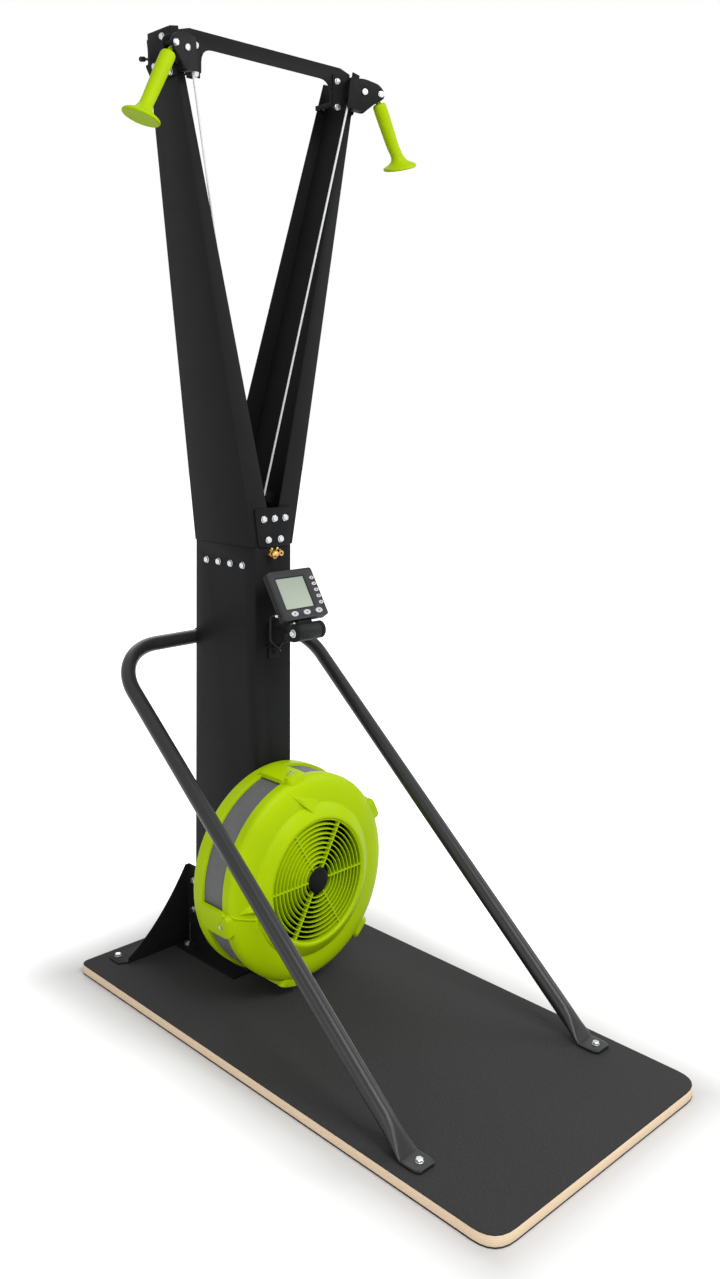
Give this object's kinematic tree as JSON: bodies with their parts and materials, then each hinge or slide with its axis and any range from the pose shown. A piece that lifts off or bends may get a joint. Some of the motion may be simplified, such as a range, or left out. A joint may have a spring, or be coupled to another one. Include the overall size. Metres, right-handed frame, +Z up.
{
  "type": "ski trainer machine",
  "caption": "Standing ski trainer on a platform: a folded column with two arms, a fan turned by two hand cords, bent side rails and a small tilting monitor.",
  "frame": {"origin": "on the floor under the middle of the platform", "axes": "+Z up, +X to the right of a user who faces the column, +Y from the user towards the column"},
  "size_m": [0.8436, 1.238, 2.137],
  "materials": {
    "black_steel": "satin powder coat",
    "black_plastic": "fine grain",
    "lime_plastic": "smooth, slightly glossy",
    "grey_mesh": "perforated sheet, matt",
    "plywood": "clear-sealed birch plywood edge",
    "rubber_mat": "fine grip texture",
    "steel": "zinc plated",
    "brass": "machined",
    "cord": "braided",
    "display": "smooth display window",
    "button_grey": "soft touch"
  },
  "bodies": {
    "frame": {"arm_left": "black_steel", "arm_right": "black_steel", "arm_top_strap_left": "black_steel", "arm_top_strap_right": "black_steel", "base_angle_left": "black_steel", "base_angle_right": "black_steel", "brace_wing_left": "black_steel", "brace_wing_right": "black_steel", "column_rear_cover": "black_steel", "column_shell": "black_steel", "cord_anchor_left": "brass", "cord_anchor_right": "brass", "cord_guide_bracket": "black_steel", "crossbar": "black_steel", "drive_cord_left": "cord", "drive_cord_right": "cord", "fan_front_shell": "lime_plastic", "fan_grille": "lime_plastic", "fan_hub_cap": "black_plastic", "fan_mesh_band": "grey_mesh", "fan_rear_shell": "lime_plastic", "front_bearing": "steel", "head_plate_left": "black_steel", "head_plate_right": "black_steel", "monitor_arm": "black_steel", "monitor_cable": "black_plastic", "platform_base_mat": "rubber_mat", "platform_board": "plywood", "platform_top_mat": "rubber_mat", "pulley_axle_left": "steel", "pulley_axle_right": "steel", "pulley_housing_left": "black_steel", "pulley_housing_right": "black_steel", "rail_left": "black_steel", "rail_right": "black_steel", "rail_saddle": "black_steel", "rear_cheek_left": "black_steel", "rear_cheek_right": "black_steel", "shaft_support": "black_steel", "splice_channel": "black_steel", "splice_plate": "black_steel"},
    "fan": {"fan_wheel": "black_plastic", "fan_shaft": "steel"},
    "monitor": {"monitor_case": "black_plastic", "monitor_bezel": "black_plastic", "monitor_window": "display"},
    "handle_right": {"handle_right": "lime_plastic"},
    "head_pulley_right": {"head_pulley_right": "black_plastic"},
    "cord_drum_right": {"cord_drum_right": "black_plastic"},
    "handle_left": {"handle_left": "lime_plastic"},
    "head_pulley_left": {"head_pulley_left": "black_plastic"},
    "cord_drum_left": {"cord_drum_left": "black_plastic"},
    "button_lower_1": {"button_lower_1": "button_grey"},
    "button_lower_2": {"button_lower_2": "button_grey"},
    "button_lower_3": {"button_lower_3": "button_grey"},
    "button_side_1": {"button_side_1": "button_grey"},
    "button_side_2": {"button_side_2": "button_grey"},
    "button_side_3": {"button_side_3": "button_grey"},
    "button_side_4": {"button_side_4": "button_grey"},
    "button_side_5": {"button_side_5": "button_grey"}
  },
  "joints": [
    {"name": "fan_spin", "type": "hinge", "parent": "frame", "child": "fan", "pos_m": [0, 0.25, 0.2678], "axis": [0, 1, 0], "continuous": true},
    {"name": "handle_pull_right", "type": "slide", "parent": "frame", "child": "handle_right", "axis": [0.43, -0.0203, -0.9026], "range_m": [0, 1.1], "stiffness_N_per_m": 30, "springref_m": -0.3},
    {"name": "pulley_turn_right", "type": "hinge", "parent": "frame", "child": "head_pulley_right", "pos_m": [0.26911, 0.27597, 2.076], "axis": [0.3746, 0.9272, 0], "continuous": true},
    {"name": "drum_turn_right", "type": "hinge", "parent": "frame", "child": "cord_drum_right", "pos_m": [0, 0.341, 0.2678], "axis": [0, 1, 0], "continuous": true},
    {"name": "handle_pull_left", "type": "slide", "parent": "frame", "child": "handle_left", "axis": [-0.43, -0.0203, -0.9026], "range_m": [0, 1.1], "stiffness_N_per_m": 30, "springref_m": -0.3},
    {"name": "pulley_turn_left", "type": "hinge", "parent": "frame", "child": "head_pulley_left", "pos_m": [-0.26911, 0.27597, 2.076], "axis": [-0.3746, 0.9272, 0], "continuous": true},
    {"name": "drum_turn_left", "type": "hinge", "parent": "frame", "child": "cord_drum_left", "pos_m": [0, 0.361, 0.2678], "axis": [0, 1, 0], "continuous": true},
    {"name": "monitor_tilt", "type": "hinge", "parent": "frame", "child": "monitor", "pos_m": [0, 0.174, 0.808], "axis": [1, 0, 0], "range_deg": [-12, 33]},
    {"name": "button_lower_1_press", "type": "slide", "parent": "monitor", "child": "button_lower_1", "axis": [0, 0.8387, -0.5446], "range_m": [0, 0.001], "stiffness_N_per_m": 500},
    {"name": "button_lower_2_press", "type": "slide", "parent": "monitor", "child": "button_lower_2", "axis": [0, 0.8387, -0.5446], "range_m": [0, 0.001], "stiffness_N_per_m": 500},
    {"name": "button_lower_3_press", "type": "slide", "parent": "monitor", "child": "button_lower_3", "axis": [0, 0.8387, -0.5446], "range_m": [0, 0.001], "stiffness_N_per_m": 500},
    {"name": "button_side_1_press", "type": "slide", "parent": "monitor", "child": "button_side_1", "axis": [0, 0.8387, -0.5446], "range_m": [0, 0.001], "stiffness_N_per_m": 500},
    {"name": "button_side_2_press", "type": "slide", "parent": "monitor", "child": "button_side_2", "axis": [0, 0.8387, -0.5446], "range_m": [0, 0.001], "stiffness_N_per_m": 500},
    {"name": "button_side_3_press", "type": "slide", "parent": "monitor", "child": "button_side_3", "axis": [0, 0.8387, -0.5446], "range_m": [0, 0.001], "stiffness_N_per_m": 500},
    {"name": "button_side_4_press", "type": "slide", "parent": "monitor", "child": "button_side_4", "axis": [0, 0.8387, -0.5446], "range_m": [0, 0.001], "stiffness_N_per_m": 500},
    {"name": "button_side_5_press", "type": "slide", "parent": "monitor", "child": "button_side_5", "axis": [0, 0.8387, -0.5446], "range_m": [0, 0.001], "stiffness_N_per_m": 500}
  ],
  "couplings": [
    {"joint": "pulley_turn_right", "follows": "handle_pull_right", "rad_per_m": 32.258},
    {"joint": "drum_turn_right", "follows": "handle_pull_right", "rad_per_m": -52.632},
    {"joint": "pulley_turn_left", "follows": "handle_pull_left", "rad_per_m": -32.258},
    {"joint": "drum_turn_left", "follows": "handle_pull_left", "rad_per_m": -52.632}
  ]
}
